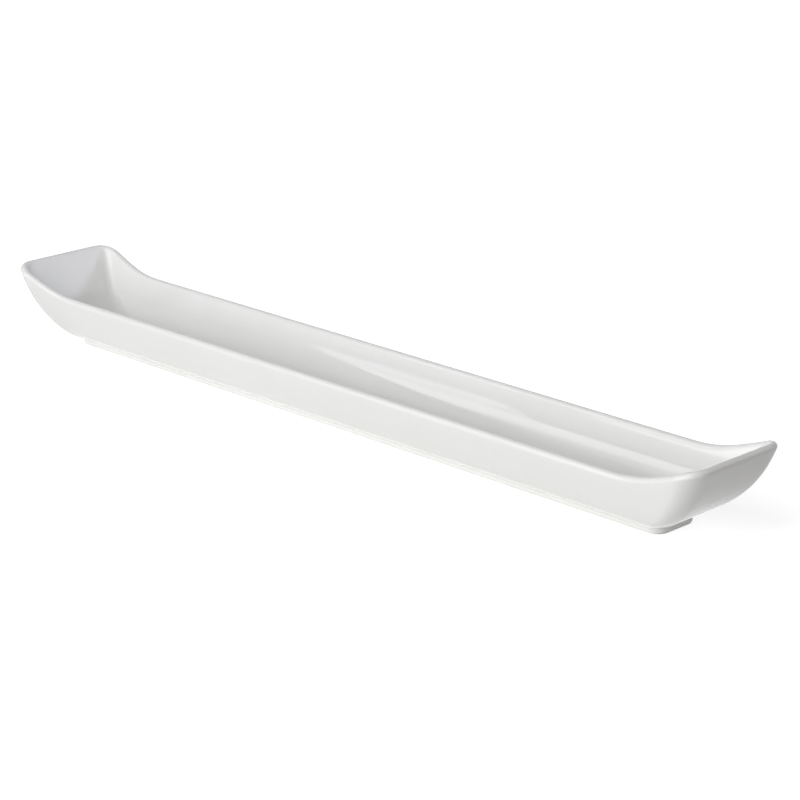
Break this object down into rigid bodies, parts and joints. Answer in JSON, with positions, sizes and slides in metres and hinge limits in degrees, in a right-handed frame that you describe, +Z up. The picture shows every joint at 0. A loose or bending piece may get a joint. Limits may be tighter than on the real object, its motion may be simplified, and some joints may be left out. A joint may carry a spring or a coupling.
{
  "type": "asparagus plate",
  "caption": "Long narrow glazed trough dish with straight flared walls, rounded corners, a full-round lip and both ends swept up, standing on a low foot ring",
  "frame": {"origin": "centre of the foot ring's footprint, on the table under the middle of the dish", "axes": "+X along the dish's length, +Y across its width, +Z up"},
  "size_m": [0.4498, 0.062, 0.0398],
  "materials": {
    "glaze": "glossy transparent glaze over white porcelain, very slightly warm",
    "foot_glaze": "the same glossy glaze, thinner where it was wiped back from the standing edge",
    "biscuit": "bare fired porcelain, matt and finely gritty"
  },
  "bodies": {
    "root": {"trough": "glaze", "foot_ring": "foot_glaze", "bare_rim": "biscuit"}
  },
  "joints": []
}
